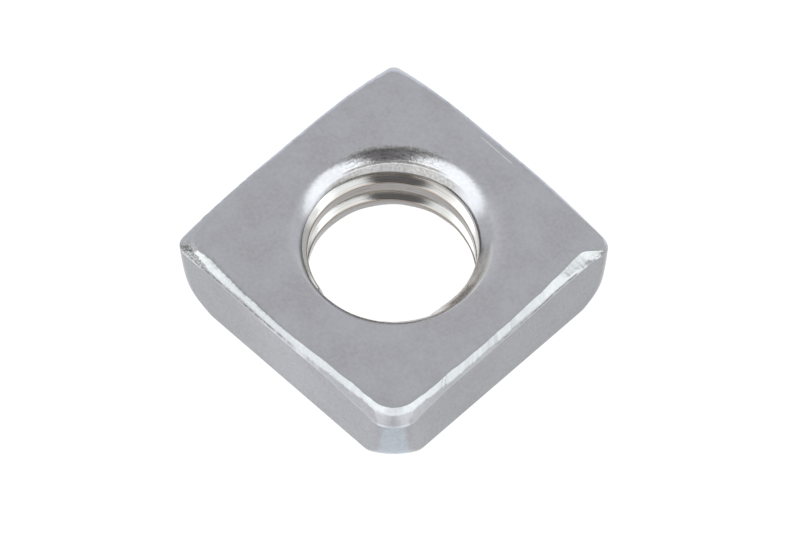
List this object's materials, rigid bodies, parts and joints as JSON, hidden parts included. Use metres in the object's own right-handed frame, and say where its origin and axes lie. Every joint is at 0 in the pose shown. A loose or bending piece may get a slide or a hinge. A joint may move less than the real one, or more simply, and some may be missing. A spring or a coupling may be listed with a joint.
{
  "type": "square nut",
  "caption": "Thin square nut with a right-hand threaded hole, a rounded mouth, rolled upper edges and corners that round off towards the bearing face.",
  "frame": {"origin": "on the thread axis, in the plane of the flat bearing face", "axes": "+Z along the thread axis towards the rolled upper face; +X and +Y square to two of the flats"},
  "size_m": [0.0078, 0.0078, 0.0023],
  "materials": {
    "nut_metal": "satin, bright plated steel"
  },
  "bodies": {
    "root": {"square_nut": "nut_metal"}
  },
  "joints": []
}
